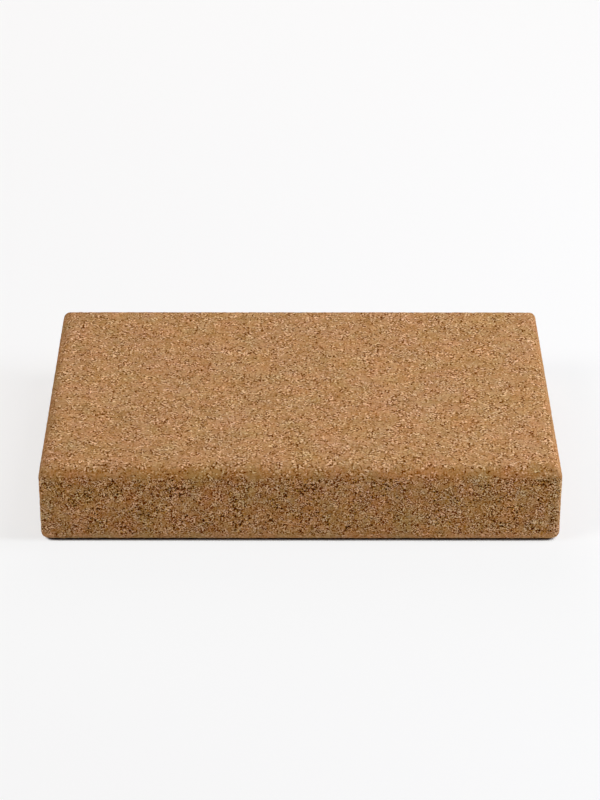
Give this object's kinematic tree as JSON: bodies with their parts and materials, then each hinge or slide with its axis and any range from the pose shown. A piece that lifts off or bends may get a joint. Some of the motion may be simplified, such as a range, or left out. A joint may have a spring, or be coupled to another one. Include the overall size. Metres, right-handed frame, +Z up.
{
  "type": "yoga block",
  "caption": "Flat rectangular slab of pressed cork with rounded edges, laid flat, on a long side or on end to raise and steady the body in floor exercise.",
  "frame": {"origin": "centre of the broad face that the block lies on", "axes": "+Z up through the thickness, +X along the length, +Y across the width and away from the pictured long side"},
  "size_m": [0.305, 0.205, 0.05],
  "materials": {
    "cork": "matte"
  },
  "bodies": {
    "root": {"cork_block": "cork"}
  },
  "joints": []
}
